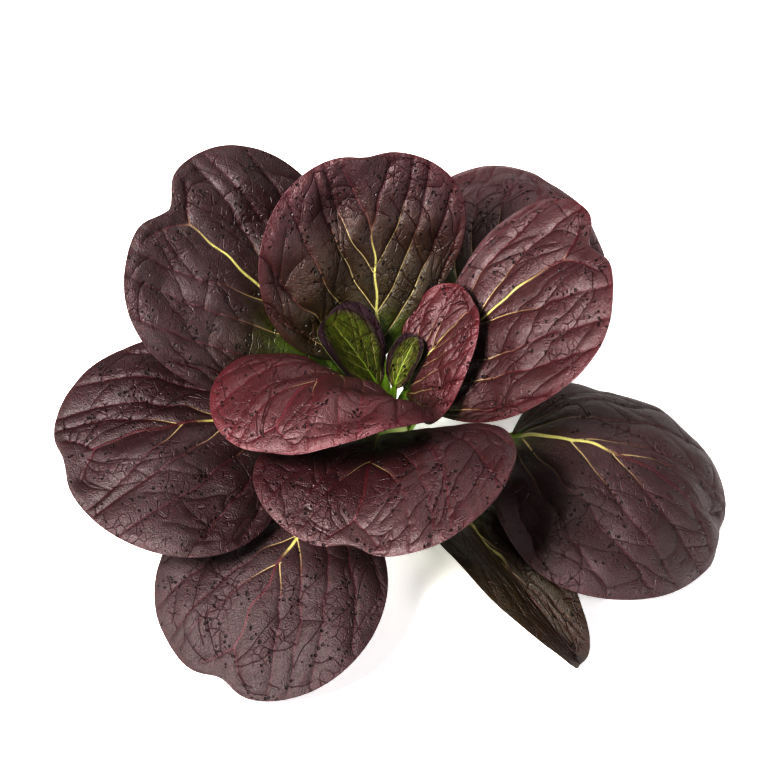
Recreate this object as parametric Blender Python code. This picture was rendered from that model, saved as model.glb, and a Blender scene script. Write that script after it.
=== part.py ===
"""A head of purple bok choy, cut from its root: a short crown that stands on its
cut face, with thirteen leaves around it. Each leaf is one piece, stalk and blade.

Lengths in the tables below are millimetres and angles are degrees. The crown's
axis is Z, its cut face is at Z = 0, and the leaves are named as seen from -Y.
"""

import bmesh
import bpy
import numpy as np

MM = 0.001

# The crown's outline as (radius, height), from the cut face to its rounded top.
CROWN_OUTLINE = (
    (11.4, 0.0),
    (11.4, 1.0),
    (9.6, 5.0),
    (7.8, 10.5),
    (6.5, 14.5),
    (5.5, 18.0),
    (4.4, 21.2),
    (2.6, 24.8),
    (1.4, 26.0),
    (0.0, 26.4),
)
CROWN_SIDES = 32
CROWN_COLOUR = (0.62, 0.66, 0.34)

# The leaf's thickness: an even blade, with a rib that stands out below it.
BLADE_THICKNESS = 0.9
RIB_DEPTH_AT_FOOT = 3.6
RIB_DEPTH_AT_BLADE = 2.6
RIB_DEPTH_AT_TIP = 0.4
RIB_HALF_AT_TIP = 0.5
FOOT_WIDENING = 1.3
NECK_NARROWING = 0.7

# Shares across one side of the leaf, from its middle line to its edge.
STALK_STEPS = (0.0, 0.22, 0.45, 0.7, 0.9, 1.0)
RIB_STEPS = (0.0, 0.5, 1.0)
BLADE_STEPS = (0.34, 0.67, 1.0)

SPINE_POINTS = 120
STALK_SHARE_OF_CURL = 0.25
LEAST_HALF_WIDTH = 0.35

# One leaf to an entry.
#   turn      heading of the foot about the crown, from +X
#   foot      radius and height of the stalk's upper side where it starts
#   stalk     length, and half width halfway along
#   rise      slope of the spine at the foot, at the blade's base and at the tip
#   swing     sideways turn of the spine by its tip
#   roll      twist of the blade about its spine, left edge up
#   blade     length and width
#   curl      downward bend of the left and the right half, from rib to edge
#   fold      upward fold of both halves along the rib
#   lean      share by which the left half is wider than the right
#   shoulder  how slowly the left and the right half widen from the stalk
#   taper     how slowly the blade closes at its tip
#   notch     depth of the notch where the rib ends
LEAVES = {
    "leaf_back_left": dict(
        turn=150, foot=(8.5, 12), stalk=(20, 3), rise=(56, 50, 26), swing=8, roll=-12,
        blade=(108, 101), curl=(17, 13), fold=5, lean=0.02, shoulder=(0.62, 0.7), taper=0.4, notch=7.5),
    "leaf_back_centre": dict(
        turn=100, foot=(7, 16), stalk=(22, 3), rise=(63, 65, 54), swing=-5, roll=11,
        blade=(86, 87), curl=(-2, -6), fold=1, lean=0.1, shoulder=(0.42, 0.85), taper=0.45, notch=2),
    "leaf_back_right": dict(
        turn=21, foot=(8.5, 12), stalk=(12, 3), rise=(58, 67, 20), swing=-9, roll=2,
        blade=(106, 92), curl=(38, 6), fold=7, lean=-0.2, shoulder=(1.3, 0.75), taper=0.44, notch=6),
    "leaf_far_right": dict(
        turn=55, foot=(10.5, 6), stalk=(50, 3), rise=(44, 40, -18), swing=-5, roll=6,
        blade=(77, 90), curl=(25, 31), fold=-5, lean=-0.04, shoulder=(0.66, 0.66), taper=0.47, notch=3),
    "leaf_left": dict(
        turn=193, foot=(10.5, 6), stalk=(40, 3), rise=(31, 28, -23), swing=6, roll=-1,
        blade=(92, 108), curl=(17, 13), fold=5, lean=0.16, shoulder=(0.4, 0.4), taper=0.47, notch=3),
    "leaf_low_left": dict(
        turn=242, foot=(10.5, 4.6), stalk=(44, 3), rise=(27, 16, -43), swing=-3, roll=5,
        blade=(91, 95), curl=(24, 17), fold=2.5, lean=-0.02, shoulder=(0.49, 0.49), taper=0.46, notch=4),
    "leaf_low_right": dict(
        turn=-62, foot=(10.5, 4.6), stalk=(43, 2.6), rise=(23, 15, -40), swing=23, roll=-11,
        blade=(88, 45), curl=(40, 29), fold=35, lean=-0.04, shoulder=(0.24, 0.24), taper=0.54, notch=1.5),
    "leaf_right": dict(
        turn=-20, foot=(10.5, 7.5), stalk=(46, 3), rise=(22, 30, -64), swing=-2, roll=-2,
        blade=(106, 107), curl=(44, 26), fold=0, lean=-0.15, shoulder=(0.39, 0.39), taper=0.5, notch=5),
    "leaf_front_centre": dict(
        turn=265, foot=(8, 12), stalk=(36, 3), rise=(66, 46, -21), swing=-11, roll=12,
        blade=(79, 100), curl=(18, 4), fold=9, lean=0.12, shoulder=(0.38, 0.5), taper=0.45, notch=4),
    "leaf_front_left": dict(
        turn=217, foot=(6, 19), stalk=(30, 2.6), rise=(80, 66, -26), swing=46, roll=16,
        blade=(76, 89), curl=(20, 14), fold=5, lean=0.12, shoulder=(0.36, 0.44), taper=0.48, notch=1),
    "leaf_heart_right": dict(
        turn=27, foot=(4.8, 22), stalk=(8, 2.2), rise=(79, 63, 38), swing=-6, roll=-12,
        blade=(50, 49), curl=(0, 40), fold=14, lean=-0.1, shoulder=(0.75, 0.2), taper=0.4, notch=0.5),
    "leaf_heart_left": dict(
        turn=148, foot=(1.9, 27), stalk=(7, 2.2), rise=(86, 58, 38), swing=-2, roll=4,
        blade=(38, 33), curl=(-38, -30), fold=2, lean=0.0, shoulder=(0.65, 0.65), taper=0.34, notch=0.8),
    "leaf_heart_bud": dict(
        turn=52, foot=(2, 27), stalk=(6, 1.5), rise=(82, 64, 36), swing=0, roll=6,
        blade=(24, 15), curl=(-55, -55), fold=0, lean=0, shoulder=(0.65, 0.65), taper=0.4, notch=0.4),
}

PURPLE = (0.10, 0.030, 0.043)
RED_PURPLE = (0.16, 0.035, 0.055)
OLIVE_PURPLE = (0.075, 0.042, 0.028)
GREEN = (0.14, 0.24, 0.02)
LEAF_COLOURS = {
    "leaf_front_left": RED_PURPLE,
    "leaf_heart_right": RED_PURPLE,
    "leaf_low_right": OLIVE_PURPLE,
    "leaf_heart_left": GREEN,
    "leaf_heart_bud": GREEN,
}
LEAF_ROUGHNESS = 0.42
SMALL_BLADE_LENGTH = 50
ROWS_OF_BLADE = 12
ROWS_OF_SMALL_BLADE = 10
ROWS_OF_STALK = 4


def clear_scene():
    for thing in list(bpy.data.objects):
        bpy.data.objects.remove(thing)


def smooth_step(share):
    """0 to 1 with level ends."""
    share = np.clip(share, 0, 1)
    return share * share * (3 - 2 * share)


class LeafForm:
    """The curved upper surface of one leaf, in millimetres."""

    def __init__(self, turn, foot, stalk, rise, swing, roll, blade, curl, fold, lean, shoulder, taper, notch):
        self.stalk_length, self.stalk_half = stalk
        self.blade_length, self.blade_width = blade
        self.curl, self.fold, self.lean = curl, fold, lean
        self.shoulder, self.taper, self.notch = shoulder, taper, notch
        self.lay_spine(turn, foot, rise, swing, roll)

    def lay_spine(self, turn, foot, rise, swing, roll):
        """Points along the spine, with its direction, its left side and its upward normal."""
        blade_end = self.stalk_length + self.blade_length
        along = np.linspace(0, blade_end + 0.06 * self.blade_length, SPINE_POINTS)
        slope = np.radians(np.interp(along, [0, self.stalk_length, blade_end], rise))
        heading = np.radians(turn + swing * (along / along[-1]) ** 2)
        level = self.stalk_length + STALK_SHARE_OF_CURL * self.blade_length
        twist = np.radians(roll) * smooth_step(along / level)[:, None]
        ahead = np.stack([np.cos(slope) * np.cos(heading), np.cos(slope) * np.sin(heading), np.sin(slope)], 1)
        steps = (ahead[1:] + ahead[:-1]) / 2 * along[1]
        radius, height = foot
        start = np.array([radius * np.cos(np.radians(turn)), radius * np.sin(np.radians(turn)), height])
        level_left = np.stack([-np.sin(heading), np.cos(heading), 0 * heading], 1)
        level_up = np.cross(ahead, level_left)
        self.along = along
        self.point = start + np.concatenate([np.zeros((1, 3)), np.cumsum(steps, 0)])
        self.left = level_left * np.cos(twist) + level_up * np.sin(twist)
        self.up = level_up * np.cos(twist) - level_left * np.sin(twist)

    def at(self, distance, track):
        """The values of one track, such as self.up, at distances along the spine."""
        return np.stack([np.interp(distance, self.along, track[:, axis]) for axis in range(3)], -1)

    def half_width(self, share, side):
        """Half width at a share of the blade's length, on the left (side 1) or the right (side -1)."""
        start = self.shoulder[0] if side > 0 else self.shoulder[1]
        widest = start / (start + self.taper)
        most = widest**start * (1 - widest) ** self.taper
        return self.blade_width / 2 * (1 + self.lean * side) * share**start * (1 - share) ** self.taper / most

    def surface(self, distance, across):
        """Points and normals of the upper surface, at distances along the spine and across it."""
        blend = smooth_step((distance - self.stalk_length) / (STALK_SHARE_OF_CURL * self.blade_length))
        side = np.where(across < 0, -1.0, 1.0)
        reach = np.abs(across)
        curl = np.radians(np.where(across < 0, self.curl[1], self.curl[0])) / (self.blade_width / 2) * blend
        curl = np.where(np.abs(curl) < 1e-6, 1e-6, curl)
        fold = np.radians(self.fold) * blend
        bend = curl * reach - fold
        sideways = side * (np.sin(bend) + np.sin(fold)) / curl
        upwards = (np.cos(bend) - np.cos(fold)) / curl
        left, up = self.at(distance, self.left), self.at(distance, self.up)
        point = self.at(distance, self.point) + left * sideways[..., None] + up * upwards[..., None]
        normal = left * (side * np.sin(bend))[..., None] + up * np.cos(bend)[..., None]
        return point, normal


def mirrored(one_side, other_side):
    """A row from the right edge over the middle line to the left edge."""
    return other_side[:0:-1] + one_side


def stalk_row(form, share):
    """Distances along and across, rib half width and rib depth, for one row of the stalk."""
    foot_half = form.stalk_half * FOOT_WIDENING
    neck_half = form.stalk_half * NECK_NARROWING
    half = foot_half + (neck_half - foot_half) * share**0.7
    depth = RIB_DEPTH_AT_FOOT + (RIB_DEPTH_AT_BLADE - RIB_DEPTH_AT_FOOT) * share
    across = [half * step for step in STALK_STEPS]
    along = [form.stalk_length * share] * len(across)
    return mirrored(along, along), mirrored(across, [-value for value in across]), half, depth


def blade_row(form, share):
    """The same values for one row of the blade."""
    neck_half = form.stalk_half * NECK_NARROWING
    rib_half = neck_half + (RIB_HALF_AT_TIP - neck_half) * share
    depth = RIB_DEPTH_AT_TIP + (RIB_DEPTH_AT_BLADE - RIB_DEPTH_AT_TIP) * (1 - share) ** 1.5
    narrowest = max(neck_half * (1 - smooth_step(share / 0.25)), LEAST_HALF_WIDTH)
    sides = {}
    for side in (1, -1):
        edge = max(form.half_width(share, side), narrowest)
        rib = min(rib_half, 0.6 * edge)
        reach = [rib * step for step in RIB_STEPS] + [rib + (edge - rib) * step for step in BLADE_STEPS]
        dip = form.notch * np.exp(-((edge / (0.09 * form.blade_width)) ** 2)) * smooth_step((share - 0.5) / 0.3)
        at_rib = share**1.6 * (form.blade_length - form.notch)
        at_edge = share * form.blade_length - dip
        along = [form.stalk_length + at_rib + (at_edge - at_rib) * (r / edge) ** 1.3 for r in reach]
        sides[side] = along, [side * r for r in reach]
    return mirrored(sides[1][0], sides[-1][0]), mirrored(sides[1][1], sides[-1][1]), rib_half, depth


def leaf_rows(form):
    small = form.blade_length < SMALL_BLADE_LENGTH
    blade_rows = ROWS_OF_SMALL_BLADE if small else ROWS_OF_BLADE
    rows = [stalk_row(form, row / ROWS_OF_STALK) for row in range(ROWS_OF_STALK)]
    for row in range(blade_rows):
        share = (1 - np.cos(np.pi * row / (blade_rows - 1))) / 2
        rows.append(blade_row(form, min(share, 1.0)))
    return rows


def closed_sheet(name, top, bottom):
    """A mesh with an upper and a lower grid of points, joined around their rim."""
    rows, columns = top.shape[:2]
    mesh = bmesh.new()
    upper = [[mesh.verts.new(point * MM) for point in row] for row in top]
    lower = [[mesh.verts.new(point * MM) for point in row] for row in bottom]
    for i in range(rows - 1):
        for j in range(columns - 1):
            mesh.faces.new((upper[i][j], upper[i + 1][j], upper[i + 1][j + 1], upper[i][j + 1]))
            mesh.faces.new((lower[i][j], lower[i][j + 1], lower[i + 1][j + 1], lower[i + 1][j]))
    right = [(i, 0) for i in range(rows)]
    tip = [(rows - 1, j) for j in range(1, columns)]
    left = [(i, columns - 1) for i in range(rows - 2, -1, -1)]
    foot = [(0, j) for j in range(columns - 2, 0, -1)]
    rim = right + tip + left + foot
    for (i, j), (k, m) in zip(rim, rim[1:] + rim[:1]):
        mesh.faces.new((upper[i][j], lower[i][j], lower[k][m], upper[k][m]))
    bmesh.ops.recalc_face_normals(mesh, faces=mesh.faces)
    return finished(name, mesh)


def finished(name, mesh):
    """The object of a finished mesh, shaded smooth except at its sharp edges."""
    data = bpy.data.meshes.new(name)
    bmesh.ops.triangulate(mesh, faces=mesh.faces)
    mesh.to_mesh(data)
    mesh.free()
    data.shade_smooth()
    data.set_sharp_from_angle(angle=np.radians(40))
    thing = bpy.data.objects.new(name, data)
    bpy.context.collection.objects.link(thing)
    return thing


def paint(thing, colour, roughness):
    material = bpy.data.materials.new(thing.name)
    material.use_nodes = True
    shader = material.node_tree.nodes["Principled BSDF"]
    shader.inputs["Base Color"].default_value = (*colour, 1)
    shader.inputs["Roughness"].default_value = roughness
    shader.inputs["Metallic"].default_value = 0
    thing.data.materials.append(material)


def make_leaf(name, shape):
    form = LeafForm(**shape)
    along, across, rib_half, rib_depth = (np.array(column) for column in zip(*leaf_rows(form)))
    top, normal = form.surface(along, across)
    round_below = np.sqrt(np.clip(1 - (across / rib_half[:, None]) ** 2, 0, 1))
    scale = min(1.0, form.stalk_half / 3 + 0.1)
    thickness = scale * (BLADE_THICKNESS + rib_depth[:, None] * round_below)
    leaf = closed_sheet(name, top, top - normal * thickness[..., None])
    paint(leaf, LEAF_COLOURS.get(name, PURPLE), LEAF_ROUGHNESS)


def make_crown():
    mesh = bmesh.new()
    outline = [mesh.verts.new((radius * MM, 0, height * MM)) for radius, height in CROWN_OUTLINE]
    outline.insert(0, mesh.verts.new((0, 0, 0)))
    edges = [mesh.edges.new(pair) for pair in zip(outline, outline[1:])]
    bmesh.ops.spin(
        mesh, geom=outline + edges, cent=(0, 0, 0), axis=(0, 0, 1), angle=2 * np.pi, steps=CROWN_SIDES, use_merge=True)
    bmesh.ops.remove_doubles(mesh, verts=mesh.verts, dist=1e-6)
    bmesh.ops.recalc_face_normals(mesh, faces=mesh.faces)
    paint(finished("crown", mesh), CROWN_COLOUR, 0.5)


clear_scene()
make_crown()
for leaf_name, leaf_shape in LEAVES.items():
    make_leaf(leaf_name, leaf_shape)
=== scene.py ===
"""The looks of the purple bok choy head: veined, quilted leaves around a short crown."""

import bpy
import numpy as np
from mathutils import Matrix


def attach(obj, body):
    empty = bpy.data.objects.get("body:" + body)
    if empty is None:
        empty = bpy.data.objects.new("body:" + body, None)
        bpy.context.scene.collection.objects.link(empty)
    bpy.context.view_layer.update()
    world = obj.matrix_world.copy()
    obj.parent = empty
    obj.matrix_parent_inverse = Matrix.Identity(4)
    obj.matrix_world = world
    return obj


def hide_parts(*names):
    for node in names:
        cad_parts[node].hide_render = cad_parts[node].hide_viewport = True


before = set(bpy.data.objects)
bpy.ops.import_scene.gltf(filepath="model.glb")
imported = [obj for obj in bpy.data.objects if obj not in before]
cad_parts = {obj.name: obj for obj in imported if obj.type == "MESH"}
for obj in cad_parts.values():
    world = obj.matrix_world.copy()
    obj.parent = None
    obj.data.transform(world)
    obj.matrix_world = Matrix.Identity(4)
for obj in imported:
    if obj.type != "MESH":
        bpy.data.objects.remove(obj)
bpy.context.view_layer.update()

MM = 0.001

# One leaf to an entry, as in the construction: lengths in millimetres, angles in degrees.
#   turn      heading of the foot about the crown, from +X
#   foot      radius and height of the stalk's upper side where it starts
#   stalk     length, and half width halfway along
#   rise      slope of the spine at the foot, at the blade's base and at the tip
#   swing     sideways turn of the spine by its tip
#   roll      twist of the blade about its spine, left edge up
#   blade     length and width
#   curl      downward bend of the left and the right half, from rib to edge
#   fold      upward fold of both halves along the rib
#   lean      share by which the left half is wider than the right
#   shoulder  how slowly the left and the right half widen from the stalk
#   taper     how slowly the blade closes at its tip
#   notch     depth of the notch where the rib ends
SHAPES = {
    "leaf_back_left": dict(
        turn=150, foot=(8.5, 12), stalk=(20, 3), rise=(56, 50, 26), swing=8, roll=-12,
        blade=(108, 101), curl=(17, 13), fold=5, lean=0.02, shoulder=(0.62, 0.7), taper=0.4, notch=7.5),
    "leaf_back_centre": dict(
        turn=100, foot=(7, 16), stalk=(22, 3), rise=(63, 65, 54), swing=-5, roll=11,
        blade=(86, 87), curl=(-2, -6), fold=1, lean=0.1, shoulder=(0.42, 0.85), taper=0.45, notch=2),
    "leaf_back_right": dict(
        turn=21, foot=(8.5, 12), stalk=(12, 3), rise=(58, 67, 20), swing=-9, roll=2,
        blade=(106, 92), curl=(38, 6), fold=7, lean=-0.2, shoulder=(1.3, 0.75), taper=0.44, notch=6),
    "leaf_far_right": dict(
        turn=55, foot=(10.5, 6), stalk=(50, 3), rise=(44, 40, -18), swing=-5, roll=6,
        blade=(77, 90), curl=(25, 31), fold=-5, lean=-0.04, shoulder=(0.66, 0.66), taper=0.47, notch=3),
    "leaf_left": dict(
        turn=193, foot=(10.5, 6), stalk=(40, 3), rise=(31, 28, -23), swing=6, roll=-1,
        blade=(92, 108), curl=(17, 13), fold=5, lean=0.16, shoulder=(0.4, 0.4), taper=0.47, notch=3),
    "leaf_low_left": dict(
        turn=242, foot=(10.5, 4.6), stalk=(44, 3), rise=(27, 16, -43), swing=-3, roll=5,
        blade=(91, 95), curl=(24, 17), fold=2.5, lean=-0.02, shoulder=(0.49, 0.49), taper=0.46, notch=4),
    "leaf_low_right": dict(
        turn=-62, foot=(10.5, 4.6), stalk=(43, 2.6), rise=(23, 15, -40), swing=23, roll=-11,
        blade=(88, 45), curl=(40, 29), fold=35, lean=-0.04, shoulder=(0.24, 0.24), taper=0.54, notch=1.5),
    "leaf_right": dict(
        turn=-20, foot=(10.5, 7.5), stalk=(46, 3), rise=(22, 30, -64), swing=-2, roll=-2,
        blade=(106, 107), curl=(44, 26), fold=0, lean=-0.15, shoulder=(0.39, 0.39), taper=0.5, notch=5),
    "leaf_front_centre": dict(
        turn=265, foot=(8, 12), stalk=(36, 3), rise=(66, 46, -21), swing=-11, roll=12,
        blade=(79, 100), curl=(18, 4), fold=9, lean=0.12, shoulder=(0.38, 0.5), taper=0.45, notch=4),
    "leaf_front_left": dict(
        turn=217, foot=(6, 19), stalk=(30, 2.6), rise=(80, 66, -26), swing=46, roll=16,
        blade=(76, 89), curl=(20, 14), fold=5, lean=0.12, shoulder=(0.36, 0.44), taper=0.48, notch=1),
    "leaf_heart_right": dict(
        turn=27, foot=(4.8, 22), stalk=(8, 2.2), rise=(79, 63, 38), swing=-6, roll=-12,
        blade=(50, 49), curl=(0, 40), fold=14, lean=-0.1, shoulder=(0.75, 0.2), taper=0.4, notch=0.5),
    "leaf_heart_left": dict(
        turn=148, foot=(1.9, 27), stalk=(7, 2.2), rise=(86, 58, 38), swing=-2, roll=4,
        blade=(38, 33), curl=(-38, -30), fold=2, lean=0.0, shoulder=(0.65, 0.65), taper=0.34, notch=0.8),
    "leaf_heart_bud": dict(
        turn=52, foot=(2, 27), stalk=(6, 1.5), rise=(82, 64, 36), swing=0, roll=6,
        blade=(24, 15), curl=(-55, -55), fold=0, lean=0, shoulder=(0.65, 0.65), taper=0.4, notch=0.4),
}

# What each leaf's surface is like.
#   green     how far up the blade the green of the stalk reaches, as a share of its length
#   olive     how far up the blade the olive brown reaches
#   red       how crimson the blade is
#   rim       width of the redder band along the margin
#   rib       how far up the blade the rib stays pale
#   fork      where along the blade the rib forks
#   pale      how far the side veins stay pale
#   puff      height of the pillows between the veins
#   wave      height of the waves along the margin
#   bloom  how much pale wax lies on it, partly real wax and partly painted sheen
#   dull      how much rougher than the others it is
#   seed      start of this leaf's chance
LOOKS = {
    "leaf_back_left": dict(
        green=0.6, olive=0.7, red=0.1, rim=4.0, rib=1, fork=0.9, pale=0.4,
        puff=1.0, wave=0.6, bloom=0.0, dull=0, seed=3),
    "leaf_back_centre": dict(
        green=0.36, olive=0.95, red=0.35, rim=5.0, rib=1, fork=0.64, pale=0.85,
        puff=1.1, wave=0.5, bloom=0.05, dull=0, seed=5),
    "leaf_back_right": dict(
        green=0.12, olive=0.45, red=0.35, rim=4.0, rib=0.9, fork=0.88, pale=0.6,
        puff=1.0, wave=0.7, bloom=0.16, dull=0, seed=8),
    "leaf_far_right": dict(
        green=0.3, olive=0.5, red=0.3, rim=4.0, rib=0.8, fork=0.85, pale=0.5,
        puff=0.8, wave=0.5, bloom=0.25, dull=0, seed=12),
    "leaf_left": dict(
        green=0.12, olive=0.35, red=0.1, rim=3.0, rib=0.45, fork=0.85, pale=0.3,
        puff=1.0, wave=0.7, bloom=0.0, dull=0.08, seed=16),
    "leaf_low_left": dict(
        green=0.12, olive=0.3, red=0.05, rim=3.0, rib=0.45, fork=0.85, pale=0.25,
        puff=0.8, wave=0.6, bloom=0.0, dull=0.18, seed=21),
    "leaf_low_right": dict(
        green=0.3, olive=1.4, red=0.0, rim=2.0, rib=0.5, fork=0.9, pale=0.3,
        puff=0.5, wave=0.4, bloom=0.0, dull=0, seed=25),
    "leaf_right": dict(
        green=0.12, olive=0.3, red=0.1, rim=3.0, rib=0.55, fork=0.8, pale=0.4,
        puff=0.75, wave=0.5, bloom=0.1, dull=0.04, seed=29),
    "leaf_front_centre": dict(
        green=0.15, olive=0.35, red=0.2, rim=4.0, rib=0.4, fork=0.85, pale=0.35,
        puff=1.0, wave=0.5, bloom=0.12, dull=0, seed=34),
    "leaf_front_left": dict(
        green=0.1, olive=0.3, red=0.5, rim=6.0, rib=0.3, fork=0.85, pale=0.35,
        puff=0.9, wave=0.5, bloom=0.2, dull=0, seed=39),
    "leaf_heart_right": dict(
        green=0.15, olive=0.2, red=0.6, rim=4.0, rib=1, fork=0.9, pale=0.8,
        puff=1.1, wave=0.8, bloom=0.16, dull=0, seed=44),
    "leaf_heart_left": dict(
        green=1.6, olive=0.0, red=0.0, rim=5.0, rib=1, fork=0.9, pale=0.9,
        puff=0.8, wave=0.8, bloom=0.0, dull=0, seed=47),
    "leaf_heart_bud": dict(
        green=1.6, olive=0.0, red=0.0, rim=2.5, rib=1, fork=0.9, pale=0.9,
        puff=0.5, wave=0.3, bloom=0.0, dull=0, seed=51),
}
HEART_LEAVES = ("leaf_heart_left", "leaf_heart_bud")

# How a leaf's spine, stalk and outline run, as in the construction.
SPINE_POINTS = 240
STALK_SHARE_OF_CURL = 0.25
LEAST_HALF_WIDTH = 0.3
FOOT_WIDENING = 1.3
NECK_NARROWING = 0.7
FOOT_SUNK = 2.5

# The grid over a leaf. Rows and columns together have to be odd, for the coarser underside.
BLADE_ROWS = 225
STALK_ROWS = 30
COLUMNS = 213
SMALL_BLADE = 35

# Thicknesses and heights in millimetres, on a blade of the standard length.
STANDARD_BLADE = 92
BLADE_THICKNESS = 0.55
MARGIN_THICKNESS = 0.28
FLOOR_CLEARANCE = 0.25
PILLOW_HEIGHT = 0.95
SMALL_PILLOW_HEIGHT = 0.45
CREASE_DEPTH = 0.3
LUMP_HEIGHT = 0.07
SWELL_HEIGHT = 0.8
MARGIN_WAVE = 0.55
RIB_BEAD = 0.2
STALK_GROOVE = 0.9
RIDGE_DEPTHS = (3.6, 2.6, 0.4)
SIDE_RIDGE_DEPTH = 0.55
PILLOW_EASE = 3.6
SMALL_PILLOW_EASE = 1.2
CREASE_HALF = 0.9
SWELL_LENGTH = 30
LUMP_LENGTH = 9
WAVE_LENGTH = 34

# Side veins, as (start along the rib, end along the margin, half width in mm).
SIDE_VEINS = (
    (0.0, 0.32, 0.2),
    (0.0, 0.6, 0.28),
    (0.06, 0.82, 0.28),
    (0.24, 0.92, 0.23),
    (0.44, 0.97, 0.2),
)
VEIN_POINTS = 28
LINKS_PER_GAP = 4
FINE_VEIN_HALF = 0.17
RIB_REACH = 40
SIDE_REACH = 14
LINK_REACH = 7

# The leaf's skin, in repeats to 100 mm.
BROAD_SCALE = 6.0
PIT_CLUSTER_SCALE = 11.0
NET_SCALE = 24.0
MOTTLE_SCALE = 38.0
PIT_SCALE = 42.0
GRAIN_SCALE = 150.0
SPECK_SCALE = 230.0
RELIEF_DEPTH = 0.00028

# The crown's outline as (radius, height), from the cut face to its rounded top, in millimetres.
CROWN_OUTLINE = (
    (10.9, 0.12), (11.35, 0.5), (11.3, 1.3), (9.7, 5.0), (8.0, 10.5), (6.7, 14.5), (5.7, 18.0),
    (4.6, 21.2), (2.8, 24.6), (1.5, 25.8), (0.5, 26.3))
CROWN_RINGS = 90
CROWN_SIDES = 96
SCARS = 5
SCAR_RISE = 24
SCAR_WIDTH = 0.09
SCAR_DEPTH = 0.35
BARK_DEPTH = 0.08
BUNDLES = 28
BUNDLE_RADIUS = 8.3
BUNDLE_SIZE = 0.5
CUT_HEIGHT = 0.14

# The camera, in metres and degrees. Its span is the width that it sees at the target.
CAMERA_TARGET = (0.0008, 0.0, 0.035)
CAMERA_DISTANCE = 1.1
CAMERA_SPAN = 0.312
CAMERA_SLOPE = 50
SENSOR_WIDTH = 36

# Round soft lights, as (name, place, diameter, power, colour).
LIGHTS = (
    ("key", (-0.76, -0.42, 0.96), 0.55, 50, (1, 0.985, 0.96)),
    ("rim", (0.30, 0.80, 1.0), 0.55, 11, (1, 0.99, 0.97)),
    ("fill", (0.83, -0.83, 0.75), 0.7, 14, (0.97, 0.98, 1)),
)
AIR_STRENGTH = 0.12
PAPER_GLOW = 0.5
VIEW_GAMMA = 0.6


def smooth_step(share):
    """0 to 1 with level ends."""
    share = np.clip(share, 0, 1)
    return share * share * (3 - 2 * share)


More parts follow.
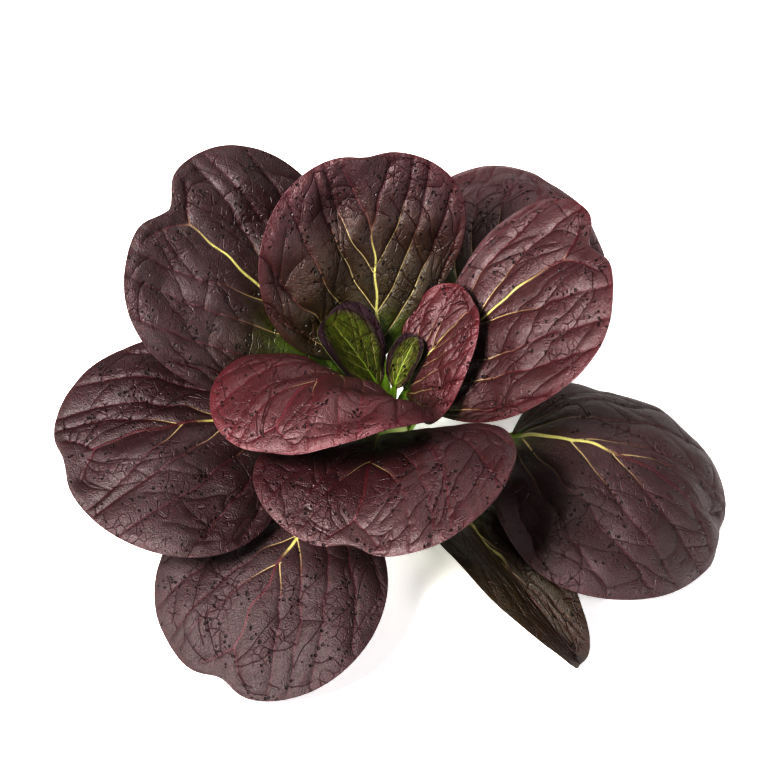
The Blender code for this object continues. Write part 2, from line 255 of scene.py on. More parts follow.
class LeafForm:
    """The curved upper surface of one leaf, in millimetres."""

    def __init__(self, turn, foot, stalk, rise, swing, roll, blade, curl, fold, lean, shoulder, taper, notch):
        self.stalk_length, self.stalk_half = stalk
        self.blade_length, self.blade_width = blade
        self.curl, self.fold, self.lean = curl, fold, lean
        self.shoulder, self.taper, self.notch = shoulder, taper, notch
        self.lay_spine(turn, foot, rise, swing, roll)

    def lay_spine(self, turn, foot, rise, swing, roll):
        """Points along the spine, with its left side and its upward normal."""
        blade_end = self.stalk_length + self.blade_length
        along = np.linspace(0, blade_end + 0.06 * self.blade_length, SPINE_POINTS)
        slope = np.radians(np.interp(along, [0, self.stalk_length, blade_end], rise))
        heading = np.radians(turn + swing * (along / along[-1]) ** 2)
        level = self.stalk_length + STALK_SHARE_OF_CURL * self.blade_length
        twist = np.radians(roll) * smooth_step(along / level)[:, None]
        level_ahead = np.cos(slope)
        ahead = np.stack([level_ahead * np.cos(heading), level_ahead * np.sin(heading), np.sin(slope)], 1)
        steps = (ahead[1:] + ahead[:-1]) / 2 * along[1]
        radius, height = foot
        start = np.array([radius * np.cos(np.radians(turn)), radius * np.sin(np.radians(turn)), height])
        level_left = np.stack([-np.sin(heading), np.cos(heading), 0 * heading], 1)
        level_up = np.cross(ahead, level_left)
        self.along = along
        self.inward = ahead[0]
        self.point = start + np.concatenate([np.zeros((1, 3)), np.cumsum(steps, 0)])
        self.left = level_left * np.cos(twist) + level_up * np.sin(twist)
        self.up = level_up * np.cos(twist) - level_left * np.sin(twist)

    def at(self, distance, track):
        """The values of one track, such as self.up, at distances along the spine."""
        return np.stack([np.interp(distance, self.along, track[:, axis]) for axis in range(3)], -1)

    def half_width(self, share, side):
        """Half width at shares of the blade's length, on the left (side 1) or the right (side -1)."""
        start = self.shoulder[0] if side > 0 else self.shoulder[1]
        widest = start / (start + self.taper)
        most = widest**start * (1 - widest) ** self.taper
        half = self.blade_width / 2 * (1 + self.lean * side)
        return half * share**start * (1 - share) ** self.taper / most

    def surface(self, distance, across):
        """Points and normals of the upper surface, at distances along the spine and across it."""
        blend = smooth_step((distance - self.stalk_length) / (STALK_SHARE_OF_CURL * self.blade_length))
        side = np.where(across < 0, -1.0, 1.0)
        reach = np.abs(across)
        curl = np.radians(np.where(across < 0, self.curl[1], self.curl[0])) / (self.blade_width / 2) * blend
        curl = np.where(np.abs(curl) < 1e-6, 1e-6, curl)
        fold = np.radians(self.fold) * blend
        bend = curl * reach - fold
        sideways = side * (np.sin(bend) + np.sin(fold)) / curl
        upwards = (np.cos(bend) - np.cos(fold)) / curl
        left, up = self.at(distance, self.left), self.at(distance, self.up)
        point = self.at(distance, self.point) + left * sideways[..., None] + up * upwards[..., None]
        point += self.inward * np.minimum(distance, 0)[..., None]
        normal = left * (side * np.sin(bend))[..., None] + up * np.cos(bend)[..., None]
        return point, normal

    def edge_along(self, share, half):
        """How far along the blade its margin lies, where the blade is half wide."""
        near_tip = smooth_step((share - 0.5) / 0.3)
        dip = self.notch * np.exp(-((half / (0.09 * self.blade_width)) ** 2)) * near_tip
        return share * self.blade_length - dip

    def flat_grid(self, blade_rows, columns):
        """Distances along and across for a grid over the whole leaf, and the share from rib to margin."""
        lane = np.linspace(-1, 1, columns)[None, :]
        reach = np.abs(lane)
        share = ((1 - np.cos(np.linspace(0, np.pi, blade_rows))) / 2)[:, None]
        neck = self.stalk_half * NECK_NARROWING
        narrowest = np.maximum(neck * (1 - smooth_step(share / 0.25)), LEAST_HALF_WIDTH)
        half = np.where(lane > 0, self.half_width(share, 1), self.half_width(share, -1))
        half = np.maximum(half, narrowest)
        at_rib = share**1.6 * (self.blade_length - self.notch)
        blade_along = self.stalk_length + at_rib + (self.edge_along(share, half) - at_rib) * reach**1.3
        step = np.linspace(0, 1, STALK_ROWS, endpoint=False)[:, None]
        foot = self.stalk_half * FOOT_WIDENING
        stalk_half = (foot + (neck - foot) * step**0.7) * np.ones_like(lane)
        stalk_along = -FOOT_SUNK + (self.stalk_length + FOOT_SUNK) * step * np.ones_like(lane)
        along = np.concatenate([stalk_along, blade_along])
        half = np.concatenate([stalk_half, half])
        return along, lane * half, half, reach * np.ones_like(half)


class Ripple:
    """Smooth noise over the plane: a sum of waves in seeded directions."""

    def __init__(self, seed, length, waves=14):
        chance = np.random.default_rng(seed)
        self.heading = chance.uniform(0, 2 * np.pi, waves)
        self.rate = 2 * np.pi / (length * chance.uniform(0.7, 1.6, waves))
        self.phase = chance.uniform(0, 2 * np.pi, waves)

    def __call__(self, x, y):
        total = 0
        for heading, rate, phase in zip(self.heading, self.rate, self.phase):
            total = total + np.sin(rate * (x * np.cos(heading) + y * np.sin(heading)) + phase)
        return total / np.sqrt(len(self.phase) / 2)


class Vein:
    """A vein as a line in the flat leaf, with its half width and how pale it is along its length."""

    def __init__(self, points, widths, pales):
        self.points = np.asarray(points)
        share = np.linspace(0, 1, len(points))
        self.widths = np.interp(share, np.linspace(0, 1, len(widths)), widths)
        self.pales = np.interp(share, np.linspace(0, 1, len(pales)), pales)

    def at(self, share):
        """The point, the half width and the paleness at a share of the vein's length."""
        place = share * (len(self.points) - 1)
        low = min(int(place), len(self.points) - 2)
        rest = place - low
        values = []
        for track in (self.points, self.widths, self.pales):
            values.append(track[low] * (1 - rest) + track[low + 1] * rest)
        return values


def curved(start, control, end, ripple, wiggle):
    """Points on a curve from start to end, pulled to control, with a slight wiggle."""
    t = np.linspace(0, 1, VEIN_POINTS)[:, None]
    line = (1 - t) ** 2 * start + 2 * t * (1 - t) * control + t**2 * end
    sway = wiggle * ripple(line[:, 0], line[:, 1]) * np.sin(np.pi * t[:, 0])
    ahead = np.gradient(line, axis=0)
    across = np.stack([-ahead[:, 1], ahead[:, 0]], 1) / (np.linalg.norm(ahead, axis=1)[:, None] + 1e-9)
    return line + across * sway[:, None]


def side_vein(form, side, start, end, half, chance, ripple, pale):
    """A vein that leaves the rib low down, runs up beside it and ends near the margin."""
    start = start + chance.uniform(-0.03, 0.03) * (start > 0)
    end = np.clip(end + chance.uniform(-0.03, 0.03), 0.08, 0.97)
    rib_length = form.blade_length - form.notch
    width = form.half_width(end, side)
    begin = np.array([form.stalk_length + start * rib_length, 0.0])
    stop = np.array([form.stalk_length + form.edge_along(end, width), side * width]) * [0.995, 0.95]
    pull = begin + (stop - begin) * [chance.uniform(0.34, 0.44), chance.uniform(0.66, 0.76)]
    line = curved(begin, pull, stop, ripple, 0.45 * form.blade_length / STANDARD_BLADE)
    widths = [1.25 * half, 0.9 * half, 0.65 * half, 0.35 * half]
    return Vein(line, widths, [1.0, 1.3 * pale, 0.4 * pale, 0.05 * pale])


def link(inner, outer, share, reach, chance, ripple, size):
    """A fine vein that bends from one vein towards the next one out."""
    begin, width, pale = inner.at(share)
    stop, _, _ = outer.at(min(share + chance.uniform(0.02, 0.16), 0.98))
    middle = (begin + stop) / 2
    middle[0] += chance.uniform(0.15, 0.35) * np.linalg.norm(stop - begin)
    points = curved(begin, middle, stop, ripple, 0.5 * size)
    kept = points[: max(4, int(reach * len(points)))]
    half = FINE_VEIN_HALF * size
    return Vein(kept, [half, 0.6 * half], [0.35 * pale, 0.0])


def rib_of(form, look, ripple):
    """The rib from the foot of the stalk to its fork."""
    size = form.blade_length / STANDARD_BLADE
    fork = np.array([form.stalk_length + look["fork"] * (form.blade_length - form.notch), 0.0])
    line = np.linspace(np.array([-2 * FOOT_SUNK, 0.0]), fork, 2 * VEIN_POINTS)
    sway = smooth_step((line[:, 0] - form.stalk_length) / 20)
    line[:, 1] += 0.5 * size * ripple(line[:, 0], 0) * sway
    neck = form.stalk_half * NECK_NARROWING
    in_blade = np.clip((line[:, 0] - form.stalk_length) / (fork[0] - form.stalk_length), -1, 1)
    halves = [neck, 0.62 * neck, 0.75 * size, 0.55 * size, 0.36 * size]
    widths = np.interp(in_blade, [-1, 0, 0.25, 0.6, 1], halves)
    pales = 1 - 0.85 * smooth_step((in_blade - 0.6 * look["rib"]) / (0.6 * look["rib"]))
    return Vein(line, widths, pales)


def tine_of(form, look, side, fork, ripple):
    """One tine of the rib's fork."""
    size = form.blade_length / STANDARD_BLADE
    width = form.half_width(0.985, side)
    stop = np.array([form.stalk_length + 0.95 * form.edge_along(0.985, width), side * 0.75 * width])
    line = curved(fork, fork + (stop - fork) * [0.5, 0.35], stop, ripple, 0.4)
    pale = 0.55 if look["rib"] > look["fork"] else 0.1
    return Vein(line, [0.3 * size, 0.2 * size, 0.12 * size], [pale, 0.5 * pale, 0.05])


def veins_of(form, look):
    """The rib, the side veins with the rib's fork, and the fine veins that link them."""
    chance = np.random.default_rng(look["seed"])
    ripple = Ripple(look["seed"] + 100, 0.16 * form.blade_length)
    size = form.blade_length / STANDARD_BLADE
    pale = look["pale"]
    rib = rib_of(form, look, ripple)
    sides = {}
    for side in (1, -1):
        fan = []
        for start, end, half in SIDE_VEINS:
            fan.append(side_vein(form, side, start, end, half * size, chance, ripple, pale))
        fan.append(tine_of(form, look, side, rib.points[-1], ripple))
        sides[side] = fan
    links = []
    for side in (1, -1):
        fan = sides[side]
        for outer, inner in zip(fan[:-1], fan[1:]):
            for order in range(LINKS_PER_GAP):
                share = (order + chance.uniform(0.3, 0.9)) / LINKS_PER_GAP
                reach = chance.choice([1.0, 1.0, 0.6])
                if chance.uniform() < 0.5:
                    links.append(link(inner, outer, 0.25 + 0.72 * share, reach, chance, ripple, size))
                else:
                    links.append(link(outer, inner, 0.3 + 0.6 * share, reach, chance, ripple, size))
        for share in (0.45, 0.7, 0.9):
            links.append(margin_twig(fan[0], side, share, chance, ripple, size))
            links.append(margin_twig(fan[1], side, share, chance, ripple, size))
    return rib, sides[1] + sides[-1], links


def margin_twig(parent, side, share, chance, ripple, size):
    """A fine vein that turns from a side vein out to the margin."""
    begin, _, pale = parent.at(share)
    length = size * chance.uniform(9, 18)
    turn = chance.uniform(0.5, 1.0)
    stop = begin + length * np.array([np.cos(turn), side * np.sin(turn)])
    middle = begin + 0.5 * length * np.array([np.cos(0.4 * turn), side * np.sin(0.4 * turn)])
    half = FINE_VEIN_HALF * size
    return Vein(curved(begin, middle, stop, ripple, 0.4), [half, 0.5 * half], [0.3 * pale, 0.0])


class Nearest:
    """For each place, the nearest vein of a family: distance, signed distance, half width and paleness."""

    def __init__(self, x, y):
        self.x = x
        self.y = y
        self.away = np.full(x.shape, 30.0)
        self.signed = np.full(x.shape, 30.0)
        self.half = np.full(x.shape, 0.1)
        self.pale = np.zeros(x.shape)

    def add(self, vein, reach):
        low, high = vein.points.min(0) - reach, vein.points.max(0) + reach
        near = (self.x > low[0]) & (self.x < high[0]) & (self.y > low[1]) & (self.y < high[1])
        if not near.any():
            return
        x, y = self.x[near][:, None], self.y[near][:, None]
        ax, ay = vein.points[:-1].T
        dx, dy = np.diff(vein.points, axis=0).T
        t = np.clip(((x - ax) * dx + (y - ay) * dy) / (dx * dx + dy * dy + 1e-9), 0, 1)
        gap = np.hypot(x - ax - t * dx, y - ay - t * dy)
        best = gap.argmin(1)
        rows = np.arange(len(best))
        gap, t = gap[rows, best], t[rows, best]
        turn = dx[best] * (y[:, 0] - ay[best]) - dy[best] * (x[:, 0] - ax[best])
        closer = gap < self.away[near]
        for field, value in (
            ("away", gap),
            ("signed", gap * np.where(turn < 0, -1, 1)),
            ("half", vein.widths[best] * (1 - t) + vein.widths[best + 1] * t),
            ("pale", vein.pales[best] * (1 - t) + vein.pales[best + 1] * t),
        ):
            values = getattr(self, field)
            values[near] = np.where(closer, value, values[near])


def nearest_of(veins, x, y, reach):
    found = Nearest(x, y)
    for vein in veins:
        found.add(vein, reach)
    return found


class LeafMap:
    """One leaf laid flat: how far each point is along and across, and from the margin and the veins."""

    def __init__(self, form, look, along, across, half, reach):
        self.form = form
        self.look = look
        self.along = along
        self.across = across
        self.half = half
        self.size = form.blade_length / STANDARD_BLADE
        self.margin_gap = (1 - reach) * half
        self.in_blade = smooth_step((along - form.stalk_length) / (0.1 * form.blade_length))
        rib, sides, links = veins_of(form, look)
        self.at_rib = nearest_of([rib], along, across, RIB_REACH)
        self.at_side = nearest_of(sides, along, across, SIDE_REACH * self.size)
        self.at_link = nearest_of(links, along, across, LINK_REACH * self.size)

    def height(self):
        """How high the upper side stands over the plain form."""
        size = self.size
        seed = self.look["seed"]
        at_rib = self.at_rib
        big_gap = np.minimum(np.maximum(at_rib.away - at_rib.half, 0), self.at_side.away)
        pillow = 1 - np.exp(-big_gap / (PILLOW_EASE * size))
        small = 1 - np.exp(-self.at_link.away / (SMALL_PILLOW_EASE * size))
        crease = np.exp(-((self.at_side.away / (CREASE_HALF * size)) ** 2))
        swell = Ripple(seed + 41, SWELL_LENGTH * size)(self.along, self.across)
        lump = Ripple(seed + 43, LUMP_LENGTH * size)(self.along, self.across)
        wave = Ripple(seed + 47, WAVE_LENGTH * size)(self.along, self.across)
        wave = wave * smooth_step(1 - self.margin_gap / (24 * size))
        height = PILLOW_HEIGHT * pillow + SMALL_PILLOW_HEIGHT * small - CREASE_DEPTH * crease
        height = self.look["puff"] * size * (height + LUMP_HEIGHT * lump * pillow)
        height *= 0.4 + 0.6 * smooth_step(self.margin_gap / (5 * size))
        off_margin = 0.3 + 0.7 * smooth_step(self.margin_gap / (18 * size))
        height += SWELL_HEIGHT * size * swell * smooth_step(at_rib.away / 14) * off_margin
        height += MARGIN_WAVE * self.look["wave"] * wave
        height *= self.in_blade
        bead = np.exp(-((at_rib.away / (at_rib.half + 0.2)) ** 4))
        groove = np.exp(-((self.across / (0.45 * self.form.stalk_half)) ** 2))
        return height + RIB_BEAD * size * bead * self.in_blade - STALK_GROOVE * (1 - self.in_blade) * groove

    def thickness(self):
        """How far the underside lies below the upper side."""
        form = self.form
        size = self.size
        blade_share = np.clip((self.along - form.stalk_length) / form.blade_length, 0, 1)
        ridge_half = form.stalk_half * NECK_NARROWING * 1.05 * (1 - blade_share) + 0.5 * size
        ridge_half = np.where(self.along < form.stalk_length, self.half, ridge_half)
        ends = [0, form.stalk_length, form.stalk_length + form.blade_length]
        ridge_depth = np.interp(self.along, ends, RIDGE_DEPTHS)
        ridge = ridge_depth * np.sqrt(np.clip(1 - (self.across / ridge_half) ** 2, 0, 1))
        slimness = min(1.0, form.stalk_half / 3 + 0.1)
        inner = smooth_step(self.margin_gap / 2.5)
        plain = MARGIN_THICKNESS + (BLADE_THICKNESS - MARGIN_THICKNESS) * inner
        side_width = self.at_side.half + 0.5 * size
        side_ridge = np.exp(-((self.at_side.away / side_width) ** 2)) * self.in_blade
        return plain + slimness * ridge + SIDE_RIDGE_DEPTH * size * side_ridge

    def marks(self):
        """The values that the finish reads at each point."""
        form = self.form
        look = self.look
        ahead = self.along - form.stalk_length
        from_base = np.hypot(ahead, 1.15 * self.across) / form.blade_length
        olive = 1 - from_base / look["olive"] if look["olive"] else 0 * self.along - 1
        on_stalk = self.along < form.stalk_length
        marks = {
            "rib_gap": self.at_rib.signed,
            "rib_half": np.where(on_stalk, 9.0, self.at_rib.half),
            "rib_pale": self.at_rib.pale,
            "side_gap": self.at_side.signed,
            "side_away": self.at_side.away,
            "side_half": self.at_side.half,
            "side_pale": self.at_side.pale * self.in_blade,
            "link_gap": self.at_link.signed,
            "link_away": np.where(self.in_blade < 0.5, 30, self.at_link.away),
            "green": np.where(on_stalk, 1.0, 1 - from_base / look["green"]),
            "olive": np.where(on_stalk, 1.0, olive),
            "margin": np.exp(-self.margin_gap / look["rim"]) * self.in_blade,
            "blade": self.in_blade,
        }
        for key in ("red", "bloom", "dull"):
            marks[key] = look[key] * np.ones(self.along.shape)
        return marks


def closed_sheet(name, top, bottom, marks, flat):
    """A closed mesh from a grid of upper points and every second point of a lower one, with its marks."""
    rows, columns = top.shape[:2]
    count = rows * columns
    upper = np.arange(count).reshape(rows, columns)
    low_rows, low_columns = (rows + 1) // 2, (columns + 1) // 2
    lower = np.arange(low_rows * low_columns).reshape(low_rows, low_columns) + count
    above = np.stack([upper[:-1, :-1], upper[1:, :-1], upper[1:, 1:], upper[:-1, 1:]], -1)
    below = np.stack([lower[:-1, :-1], lower[:-1, 1:], lower[1:, 1:], lower[1:, :-1]], -1)
    quads = np.concatenate([above.reshape(-1, 4), below.reshape(-1, 4)])
    high = around(upper)
    low = around(lower)
    band = [high[::2], low, np.roll(low, -1), np.roll(high, -2)[::2], np.roll(high, -1)[::2]]
    band = np.stack(band, -1)
    corners = np.concatenate([quads.ravel(), band.ravel()])
    sizes = np.concatenate([np.full(len(quads), 4), np.full(len(band), 5)])
    points = np.concatenate([top.reshape(-1, 3), bottom[::2, ::2].reshape(-1, 3)]) * MM
    mesh = bpy.data.meshes.new(name)
    mesh.vertices.add(len(points))
    mesh.vertices.foreach_set("co", points.ravel())
    mesh.loops.add(len(corners))
    mesh.loops.foreach_set("vertex_index", corners)
    mesh.polygons.add(len(sizes))
    mesh.polygons.foreach_set("loop_start", np.concatenate([[0], np.cumsum(sizes)[:-1]]))
    mesh.polygons.foreach_set("loop_total", sizes)
    mesh.update(calc_edges=True)
    layers = {"under": np.concatenate([np.zeros(count), np.ones(len(points) - count)])}
    for key, value in marks.items():
        layers[key] = np.concatenate([value.ravel(), value[::2, ::2].ravel()])
    for key, values in layers.items():
        layer = mesh.attributes.new(key, "FLOAT", "POINT")
        layer.data.foreach_set("value", values.astype(np.float32))
    flat_points = np.concatenate([flat.reshape(-1, 2), flat[::2, ::2].reshape(-1, 2)]) / 100
    sheet_map = mesh.uv_layers.new(name="flat")
    sheet_map.data.foreach_set("uv", flat_points[corners].astype(np.float32).ravel())
    mesh.shade_smooth()
    mesh.validate()
    thing = bpy.data.objects.new(name, mesh)
    bpy.context.collection.objects.link(thing)
    return thing


def around(index):
    """The indices around a grid's rim, in order."""
    return np.concatenate([index[:, 0], index[-1, 1:], index[-2::-1, -1], index[0, -2:0:-1]])


def make_leaf(node, finish):
    """One leaf, in the place of the node of that name."""
    form = LeafForm(**SHAPES[node])
    if form.blade_length < SMALL_BLADE:
        along, across, half, reach = form.flat_grid(BLADE_ROWS // 2 + 1, COLUMNS // 2 + 1)
    else:
        along, across, half, reach = form.flat_grid(BLADE_ROWS, COLUMNS)
    leaf_map = LeafMap(form, LOOKS[node], along, across, half, reach)
    height = leaf_map.height()
    point, normal = form.surface(along, across)
    top = point + normal * height[..., None]
    bottom = point + normal * (height - leaf_map.thickness())[..., None]
    top[..., 2] = np.maximum(top[..., 2], FLOOR_CLEARANCE + 0.3)
    bottom[..., 2] = np.maximum(bottom[..., 2], FLOOR_CLEARANCE)
    flat = np.stack([along, across], -1)
    leaf = closed_sheet(node.replace("leaf_", "") + "_leaf", top, bottom, leaf_map.marks(), flat)
    leaf.data.materials.append(finish)
    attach(leaf, "root")
    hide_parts(node)


class Number:
    """A number socket of a finish, on which Python's operators add Math nodes."""

    def __init__(self, finish, socket):
        self.finish, self.socket = finish, socket

    def math(self, operation, first, second=0.0):
        return self.finish.node("ShaderNodeMath", {"operation": operation}, {0: first, 1: second})

    def __add__(self, other):
        return self.math("ADD", self, other)

    __radd__ = __add__

    def __mul__(self, other):
        return self.math("MULTIPLY", self, other)

    __rmul__ = __mul__

    def __sub__(self, other):
        return self.math("SUBTRACT", self, other)

    def __rsub__(self, other):
        return self.math("SUBTRACT", other, self)

    def size(self):
        """This number without its sign."""
        return self.math("ABSOLUTE", self)

    def between(self, low, high):
        """0 where this number is low, 1 where it is high, eased between."""
        ends = {"Value": self, "From Min": low, "From Max": high}
        return self.finish.node("ShaderNodeMapRange", {"interpolation_type": "SMOOTHSTEP"}, ends)


class Finish:
    """A material with a Principled shader, and the nodes that feed it."""

    def __init__(self, name):
        self.material = bpy.data.materials.new(name)
        self.material.use_nodes = True
        self.tree = self.material.node_tree
        self.shader = self.tree.nodes["Principled BSDF"]

    def node(self, kind, settings=None, sockets=None, output=0):
        """A new node's output, after its settings are made and its sockets are set or linked."""
        made = self.tree.nodes.new(kind)
        for key, value in (settings or {}).items():
            setattr(made, key, value)
        for key, value in (sockets or {}).items():
            self.feed(made.inputs[key], value)
        return Number(self, made.outputs[output])

    def feed(self, socket, value):
        if isinstance(value, Number):
            self.tree.links.new(value.socket, socket)
        elif isinstance(value, tuple) and len(value) == 3 and socket.type == "RGBA":
            socket.default_value = (*value, 1)
        else:
            socket.default_value = value

    def set(self, **sockets):
        """Feed the shader's own sockets."""
        for key, value in sockets.items():
            self.feed(self.shader.inputs[key.replace("_", " ")], value)

    def mark(self, name):
        """One of the values that a leaf's mesh carries."""
        return self.node("ShaderNodeAttribute", {"attribute_name": name}, output="Fac")

    def flat(self):
        """The place on the leaf laid flat."""
        return self.node("ShaderNodeUVMap", {"uv_map": "flat"})

    def mix(self, factor, first, second):
        """A colour between first and second."""
        sockets = {"Factor": factor, 6: first, 7: second}
        return self.node("ShaderNodeMix", {"data_type": "RGBA"}, sockets, output=2)

    def noise(self, place, scale, detail=3.0, roughness=0.55):
        sockets = {"Vector": place, "Scale": scale, "Detail": detail, "Roughness": roughness}
        return self.node("ShaderNodeTexNoise", {}, sockets)

    def warped(self, place, scale, amount):
        """A place moved a little by noise."""
        push = self.node("ShaderNodeTexNoise", {}, {"Vector": place, "Scale": scale}, output="Color")
        sockets = {0: push, 1: (amount,) * 3, 2: place}
        return self.node("ShaderNodeVectorMath", {"operation": "MULTIPLY_ADD"}, sockets)

    def cells(self, place, scale, feature="F1"):
        return self.node("ShaderNodeTexVoronoi", {"feature": feature}, {"Vector": place, "Scale": scale})

    def line(self, gap, half, soft):
        """1 on a vein, 0 beside it, from the signed distance to its middle."""
        return 1 - gap.size().between(half * 0.7 - soft, half * 1.15 + soft)

    def bump(self, relief, depth, strength=1.0):
        return self.node("ShaderNodeBump", {}, {"Height": relief, "Strength": strength, "Distance": depth})


class LeafFinish(Finish):
    """A waxy leaf: where its veins, net and pits lie, and the colours and the relief made from them."""

    def __init__(self, name):
        super().__init__(name)
        self.green = self.mark("green")
        self.blade = self.mark("blade")
        self.margin = self.mark("margin")
        self.red = self.mark("red")
        self.lay_patterns()
        self.lay_veins()
        self.lay_pits()

    def lay_patterns(self):
        flat = self.flat()
        self.broad = self.noise(flat, BROAD_SCALE, 2.0)
        self.mottle = self.noise(flat, MOTTLE_SCALE, 4.0, 0.6)
        self.speck = self.noise(flat, SPECK_SCALE, 2.0, 0.7)
        self.grain = self.cells(self.warped(flat, 90.0, 0.005), GRAIN_SCALE)
        self.drift = self.mottle * 0.5 + self.speck * 0.3 - 0.4

    def lay_veins(self):
        """The rib, the side veins, the fine veins and a faint net between them."""
        self.rib = self.line(self.mark("rib_gap"), self.mark("rib_half"), 0.12)
        self.side = self.line(self.mark("side_gap"), self.mark("side_half"), 0.08)
        self.side = self.side * (1 - self.mark("side_away").between(0.7, 1.0))
        self.twig = self.line(self.mark("link_gap"), 0.13, 0.08)
        self.twig = self.twig * (1 - self.mark("link_away").between(0.6, 0.8))
        net = self.cells(self.warped(self.flat(), 26.0, 0.012), NET_SCALE, "DISTANCE_TO_EDGE")
        self.net = (1 - net.between(0.0, 0.06)) * self.broad.between(0.46, 0.62) * self.blade

    def lay_pits(self):
        flat = self.flat()
        pits = self.cells(self.warped(flat, 60.0, 0.006), PIT_SCALE)
        clusters = self.noise(flat, PIT_CLUSTER_SCALE, 2.0).between(0.51, 0.58)
        self.pit = (1 - pits.between(0.14, 0.30)) * clusters * (1 - self.rib) * self.blade

    def purple(self):
        """The dark skin, more crimson towards the margin, under a little pale wax that is partly painted
        sheen.
        """
        purple = self.mix(self.broad.between(0.35, 0.65), (0.027, 0.0078, 0.0085), (0.036, 0.0088, 0.0115))
        purple = self.mix(self.mottle.between(0.45, 0.7) * 0.6, purple, (0.050, 0.0100, 0.0135))
        purple = self.mix(self.speck.between(0.5, 0.75) * 0.4, purple, (0.066, 0.028, 0.029))
        blush = self.red * 0.75 + self.margin * (0.2 + self.red * 0.3) + self.drift * 0.7
        purple = self.mix(blush.between(0.08, 1.0), purple, (0.105, 0.0080, 0.017))
        # A pale greyish layer: partly real wax, partly painted sheen for the leaves that shine more.
        return self.mix(self.mark("bloom") + self.drift * 0.15, purple, (0.150, 0.060, 0.064))

    def grown(self):
        """Green at the base, then olive brown, then purple."""
        patchy = self.mottle.between(0.35, 0.65)
        browned = self.mix(patchy, (0.028, 0.018, 0.002), (0.044, 0.025, 0.003))
        bright = self.mix(patchy, (0.045, 0.075, 0.001), (0.075, 0.120, 0.003))
        olive = (self.mark("olive") + self.drift * 0.6).between(0.0, 0.7)
        ground = self.mix(olive, self.purple(), browned)
        return self.mix((self.green + self.drift * 0.5).between(0.15, 0.75), ground, bright)

    def tender(self):
        """The young green of the heart inside its purple rim."""
        patchy = self.mottle.between(0.35, 0.65)
        tender = self.mix(patchy, (0.044, 0.056, 0.001), (0.085, 0.098, 0.002))
        return self.mix((self.margin + self.drift * 0.5).between(0.2, 0.55), tender, (0.036, 0.015, 0.022))

    def veined(self, ground):
        """A ground with its net, its fine and side veins, its rib and its pits."""
        vein_red = self.mix(self.red, (0.070, 0.008, 0.015), (0.170, 0.016, 0.032))
        tawny = self.mix(self.mark("side_pale").between(0.3, 0.95), vein_red, (0.360, 0.300, 0.150))
        stalk = self.mix(self.mark("rib_pale").between(0.2, 0.8), vein_red, (0.430, 0.410, 0.160))
        stalk = self.mix((self.green + self.drift * 0.2).between(0.3, 0.95), stalk, (0.190, 0.290, 0.025))
        ground = self.mix(self.net * 0.3, ground, (0.024, 0.004, 0.006))
        ground = self.mix(self.twig * 0.5, ground, (0.050, 0.006, 0.010))
        ground = self.mix(self.side, ground, tawny)
        ground = self.mix(self.rib, ground, stalk)
        return self.mix(self.pit * 0.85, ground, (0.006, 0.002, 0.002))

    def underside(self):
        """The paler, greener back of the leaf."""
        back = self.mix(self.broad.between(0.3, 0.7), (0.090, 0.045, 0.048), (0.120, 0.050, 0.058))
        back = self.mix((self.green + 0.2).between(0.0, 0.8), back, (0.150, 0.210, 0.040))
        back = self.mix(self.side, back, (0.330, 0.300, 0.150))
        return self.mix(self.rib, back, (0.360, 0.480, 0.120))

    def relief(self):
        """The leathery grain, the pits, and the sunken net and fine veins."""
        skin = self.speck * 0.8 + self.mottle * 1.2 - self.grain * 0.5
        return self.bump(skin - self.pit * 3.0 - self.net * 0.9 - self.twig * 1.0, RELIEF_DEPTH)

    def worn(self, smoothest):
        """Roughness, from that of the smoothest skin up."""
        return smoothest + self.mark("dull") + self.speck * 0.14 + self.mottle * 0.06


def purple_leaf_finish():
    """The glossy dark leaf of the outer head."""
    finish = LeafFinish("leaf_purple")
    coloured = finish.mix(finish.mark("under"), finish.veined(finish.grown()), finish.underside())
    finish.set(Base_Color=coloured, Roughness=finish.worn(0.26), Normal=finish.relief())
    finish.set(Specular_IOR_Level=0.8)
    return finish.material


def heart_leaf_finish():
    """The duller young leaf of the heart."""
    finish = LeafFinish("heart_leaf")
    coloured = finish.mix(finish.mark("under"), finish.veined(finish.tender()), finish.underside())
    finish.set(Base_Color=coloured, Roughness=finish.worn(0.42), Normal=finish.relief())
    finish.set(Specular_IOR_Level=0.4)
    return finish.material


def crown_finish():
    """Pale moist flesh with a faint fibre."""
    finish = Finish("crown_flesh")
    place = finish.node("ShaderNodeTexCoord", output="Object")
    fibre = finish.noise(place, 90.0, 4.0, 0.6)
    flesh = finish.mix(fibre.between(0.3, 0.7), (0.420, 0.500, 0.200), (0.620, 0.640, 0.360))
    finish.set(Base_Color=flesh, Roughness=fibre * 0.2 + 0.38, Normal=finish.bump(fibre, 0.0006, 0.4))
    finish.set(Subsurface_Weight=0.1, Subsurface_Scale=0.003)
    return finish.material


def vessel_finish():
    """The greener ends of the vessels."""
    finish = Finish("crown_vessel")
    place = finish.node("ShaderNodeTexCoord", output="Object")
    fibre = finish.noise(place, 400.0)
    finish.set(Base_Color=finish.mix(fibre, (0.16, 0.20, 0.05), (0.30, 0.33, 0.10)), Roughness=0.5)
    return finish.material


def make_camera():
    """The camera, level with no shift, looking down at the head from the front."""
    data = bpy.data.cameras.new("camera")
    data.sensor_width = SENSOR_WIDTH
    data.lens = SENSOR_WIDTH * CAMERA_DISTANCE / CAMERA_SPAN
    camera = bpy.data.objects.new("camera", data)
    bpy.context.collection.objects.link(camera)
    slope = np.radians(CAMERA_SLOPE)
    away = np.array([0, -np.cos(slope), np.sin(slope)])
    camera.location = np.array(CAMERA_TARGET) + CAMERA_DISTANCE * away
    camera.rotation_euler = (np.pi / 2 - slope, 0, 0)
    bpy.context.scene.camera = camera


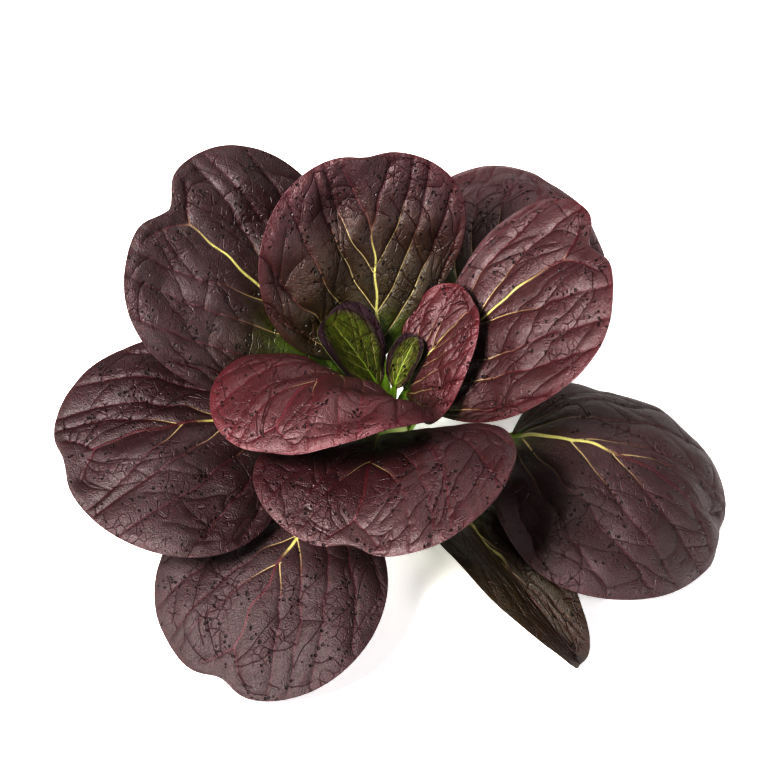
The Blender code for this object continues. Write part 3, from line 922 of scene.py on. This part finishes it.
def make_light(name, place, size, power, colour):
    """A round soft light that faces the head."""
    data = bpy.data.lights.new(name, "AREA")
    data.shape = "DISK"
    data.size = size
    data.energy = power
    data.color = colour
    light = bpy.data.objects.new(name, data)
    bpy.context.collection.objects.link(light)
    light.location = place
    from_centre = np.array(place) / np.linalg.norm(place)
    light.rotation_euler = (np.arccos(from_centre[2]), 0, np.arctan2(from_centre[0], -from_centre[1]))


def make_studio():
    """A plain pale floor, even air and soft lights."""
    bpy.ops.mesh.primitive_plane_add(size=6)
    floor = bpy.context.object
    floor.name = "studio_floor"
    paper = Finish("studio_paper")
    paper.set(Base_Color=(0.9, 0.9, 0.9), Roughness=0.8)
    paper.set(Emission_Color=(1, 1, 1), Emission_Strength=PAPER_GLOW)
    floor.data.materials.append(paper.material)
    world = bpy.data.worlds.new("studio_air")
    bpy.context.scene.world = world
    world.use_nodes = True
    air = world.node_tree.nodes["Background"]
    air.inputs["Color"].default_value = (1, 1, 1, 1)
    air.inputs["Strength"].default_value = AIR_STRENGTH
    for light in LIGHTS:
        make_light(*light)
    bpy.context.scene.view_settings.view_transform = "Standard"
    bpy.context.scene.view_settings.gamma = VIEW_GAMMA


def make_crown(finish):
    """The short stem between the leaves: scarred outside, with a cut face that shows its vessels."""
    steps = np.linspace(0, len(CROWN_OUTLINE) - 1, CROWN_RINGS)
    radius = np.interp(steps, range(len(CROWN_OUTLINE)), [r for r, _ in CROWN_OUTLINE])
    height = np.interp(steps, range(len(CROWN_OUTLINE)), [z for _, z in CROWN_OUTLINE])
    turn = np.linspace(0, 2 * np.pi, CROWN_SIDES, endpoint=False)
    spiral = height[:, None] / SCAR_RISE * SCARS + turn[None, :] / (2 * np.pi)
    scar = np.exp(-(((spiral % 1) - 0.5) / SCAR_WIDTH) ** 2) * (height[:, None] > 1.5)
    rough = Ripple(71, 3.0)(turn[None, :] * 8, height[:, None])
    wide = radius[:, None] - SCAR_DEPTH * scar - BARK_DEPTH * (rough + 1.5) * (height[:, None] > 1)
    x, y = wide * np.cos(turn), wide * np.sin(turn)
    ring = np.stack([x, y, height[:, None] * np.ones_like(x)], -1)
    poles = [[0, 0, height[0]], [0, 0, height[-1] + 0.05]]
    points = np.concatenate([ring.reshape(-1, 3), poles]) * MM
    index = np.arange(CROWN_RINGS * CROWN_SIDES).reshape(CROWN_RINGS, CROWN_SIDES)
    after = np.roll(index, -1, axis=1)
    faces = np.stack([index[:-1], after[:-1], after[1:], index[1:]], -1).reshape(-1, 4).tolist()
    faces += [(after[0, j], index[0, j], len(points) - 2) for j in range(CROWN_SIDES)]
    faces += [(index[-1, j], after[-1, j], len(points) - 1) for j in range(CROWN_SIDES)]
    mesh = bpy.data.meshes.new("crown_stem")
    mesh.from_pydata(points.tolist(), [], faces)
    mesh.shade_smooth()
    crown = bpy.data.objects.new("crown_stem", mesh)
    bpy.context.collection.objects.link(crown)
    mesh.materials.append(finish)
    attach(crown, "root")
    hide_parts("crown")


def vessel_tree(finish):
    """Geometry nodes that set flat beads in a ring, and the identifiers of the tree's inputs."""
    tree = bpy.data.node_groups.new("vessel_ring", "GeometryNodeTree")
    face = tree.interface
    face.new_socket("Geometry", in_out="OUTPUT", socket_type="NodeSocketGeometry")
    sockets = {}
    for name, kind in (("Count", "NodeSocketInt"), ("Ring", "NodeSocketFloat"), ("Bead", "NodeSocketFloat")):
        sockets[name] = face.new_socket(name, in_out="INPUT", socket_type=kind).identifier
    nodes = tree.nodes
    given, made = nodes.new("NodeGroupInput"), nodes.new("NodeGroupOutput")
    circle = nodes.new("GeometryNodeMeshCircle")
    bead = nodes.new("GeometryNodeMeshUVSphere")
    bead.inputs["Segments"].default_value = 10
    bead.inputs["Rings"].default_value = 6
    place = nodes.new("GeometryNodeInstanceOnPoints")
    place.inputs["Scale"].default_value = (1, 0.8, 0.2)
    size = nodes.new("FunctionNodeRandomValue")
    least, most = size.inputs[2], size.inputs[3]
    least.default_value, most.default_value = 0.7, 1.2
    size.inputs["Seed"].default_value = 5
    grow = nodes.new("GeometryNodeScaleInstances")
    real = nodes.new("GeometryNodeRealizeInstances")
    paint = nodes.new("GeometryNodeSetMaterial")
    paint.inputs["Material"].default_value = finish
    for start, end in (
        (given.outputs["Count"], circle.inputs["Vertices"]),
        (given.outputs["Ring"], circle.inputs["Radius"]),
        (given.outputs["Bead"], bead.inputs["Radius"]),
        (circle.outputs["Mesh"], place.inputs["Points"]),
        (bead.outputs["Mesh"], place.inputs["Instance"]),
        (place.outputs["Instances"], grow.inputs["Instances"]),
        (size.outputs[1], grow.inputs["Scale"]),
        (grow.outputs["Instances"], real.inputs["Geometry"]),
        (real.outputs["Geometry"], paint.inputs["Geometry"]),
        (paint.outputs["Geometry"], made.inputs["Geometry"]),
    ):
        tree.links.new(start, end)
    return tree, sockets


def make_vessels(finish):
    """The ring of vessels that stands a little proud of the cut face."""
    tree, sockets = vessel_tree(finish)
    vessels = bpy.data.objects.new("crown_vessels", bpy.data.meshes.new("empty"))
    bpy.context.collection.objects.link(vessels)
    ring = vessels.modifiers.new("ring", "NODES")
    ring.node_group = tree
    for name, value in (("Count", BUNDLES), ("Ring", BUNDLE_RADIUS * MM), ("Bead", BUNDLE_SIZE * MM)):
        ring[sockets[name]] = value
    mesh = bpy.data.meshes.new_from_object(vessels.evaluated_get(bpy.context.evaluated_depsgraph_get()))
    vessels.modifiers.remove(ring)
    for vertex in mesh.vertices:
        vertex.co.z += CUT_HEIGHT * MM
    mesh.shade_smooth()
    vessels.data = mesh
    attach(vessels, "root")
    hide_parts("crown")


make_camera()
make_studio()
make_crown(crown_finish())
make_vessels(vessel_finish())
purple_leaf = purple_leaf_finish()
heart_leaf = heart_leaf_finish()
for node_name in SHAPES:
    make_leaf(node_name, heart_leaf if node_name in HEART_LEAVES else purple_leaf)
